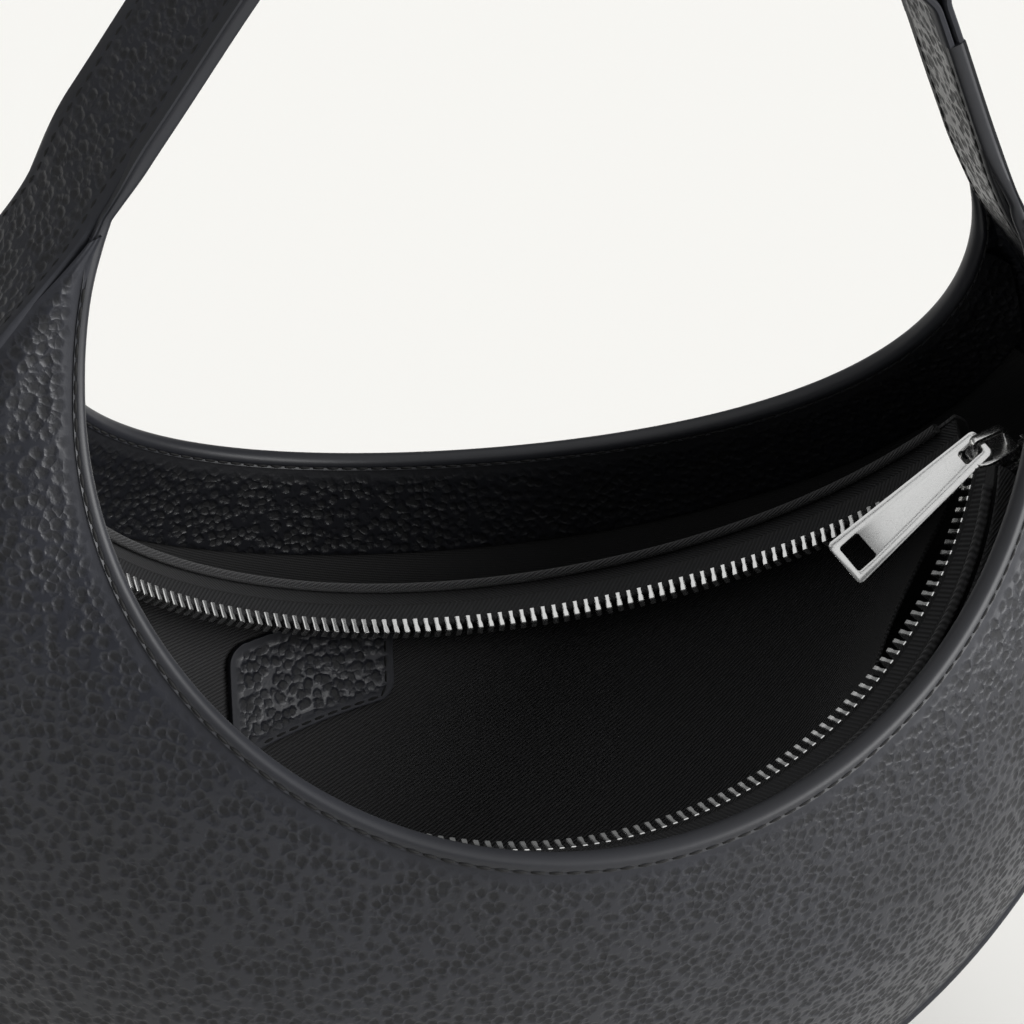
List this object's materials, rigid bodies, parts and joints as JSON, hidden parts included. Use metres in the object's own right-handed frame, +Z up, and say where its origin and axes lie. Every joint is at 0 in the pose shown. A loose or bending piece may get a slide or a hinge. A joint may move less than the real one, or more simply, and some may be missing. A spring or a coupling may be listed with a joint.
{
  "type": "curved handbag",
  "caption": "Crescent-shaped leather handbag with a gusset, wide bound mouth, short upright strap with a metal ring, and a zipped inner pouch.",
  "frame": {"origin": "middle of the flat base, on the surface the bag stands on", "axes": "+X along the bag to the end where the zip slider rests, +Y from the front rim to the back rim, +Z up"},
  "size_m": [0.2724, 0.1645, 0.332],
  "materials": {
    "outer_leather": "black pebbled grain, satin",
    "facing_leather": "black pebbled grain, a little glossier than the outside",
    "smooth_leather": "smooth black edge leather",
    "lining_cloth": "black fine twill",
    "zip_cloth": "black herringbone zip tape",
    "piping_cloth": "black twill over a thin cord",
    "board": "grey stiffener, hidden",
    "polished_metal": "polished silver-coloured metal"
  },
  "bodies": {
    "bag": {"front_panel": "outer_leather", "back_panel": "outer_leather", "gusset_band": "outer_leather", "front_facing": "facing_leather", "back_facing": "facing_leather", "left_side_facing": "facing_leather", "right_side_facing": "facing_leather", "front_rim_binding": "smooth_leather", "back_rim_binding": "smooth_leather", "front_lining": "lining_cloth", "back_lining": "lining_cloth", "gusset_lining": "lining_cloth", "base_board": "board", "pouch_front_wall": "lining_cloth", "pouch_back_wall": "lining_cloth", "pouch_leather_patch": "outer_leather", "left_end_tab": "outer_leather", "right_end_tab": "outer_leather", "closed_chain_end": "polished_metal", "zip_bottom_stop": "polished_metal"},
    "strap": {"strap_short": "outer_leather", "strap_short_lining": "facing_leather", "strap_long": "outer_leather", "strap_long_lining": "facing_leather"},
    "ring": {"strap_ring": "polished_metal"},
    "zip_slider": {"slider_body": "polished_metal", "slider_bridge": "polished_metal"},
    "puller": {"zip_puller": "polished_metal"},
    "front_zip_half": {"front_zip_teeth": "polished_metal", "front_zip_tape": "zip_cloth", "front_top_stop": "polished_metal", "pouch_front_piping": "piping_cloth"},
    "back_zip_half": {"back_zip_teeth": "polished_metal", "back_zip_tape": "zip_cloth", "back_top_stop": "polished_metal", "pouch_back_piping": "piping_cloth"}
  },
  "joints": [
    {"name": "strap_swing", "type": "hinge", "parent": "bag", "child": "strap", "pos_m": [0, 0, 0.245], "axis": [1, 0, 0], "range_deg": [-90, 90]},
    {"name": "ring_swing", "type": "hinge", "parent": "strap", "child": "ring", "pos_m": [0.06385, 0, 0.27003], "axis": [0, 1, 0], "range_deg": [-2.5, 2.5]},
    {"name": "zip_travel", "type": "slide", "parent": "bag", "child": "zip_slider", "axis": [-1, 0, 0], "range_m": [0, 0.19]},
    {"name": "puller_swing", "type": "hinge", "parent": "zip_slider", "child": "puller", "pos_m": [0.10333, 0, 0.15953], "axis": [0, 1, 0], "range_deg": [0, 125]},
    {"name": "front_zip_swing", "type": "hinge", "parent": "bag", "child": "front_zip_half", "pos_m": [0, 0, 0.1535], "axis": [1, 0, 0], "range_deg": [0, 34.2], "deforming": ["front_zip_teeth", "front_zip_tape", "front_top_stop", "pouch_front_piping", "pouch_front_wall"]},
    {"name": "back_zip_swing", "type": "hinge", "parent": "bag", "child": "back_zip_half", "pos_m": [0, 0, 0.1535], "axis": [1, 0, 0], "range_deg": [-34.2, 0], "deforming": ["back_zip_teeth", "back_zip_tape", "back_top_stop", "pouch_back_piping", "pouch_back_wall"]}
  ],
  "couplings": [
    {"joint": "front_zip_swing", "follows": "zip_travel", "rad_per_m": 3.1232},
    {"joint": "back_zip_swing", "follows": "zip_travel", "rad_per_m": -3.1232}
  ]
}
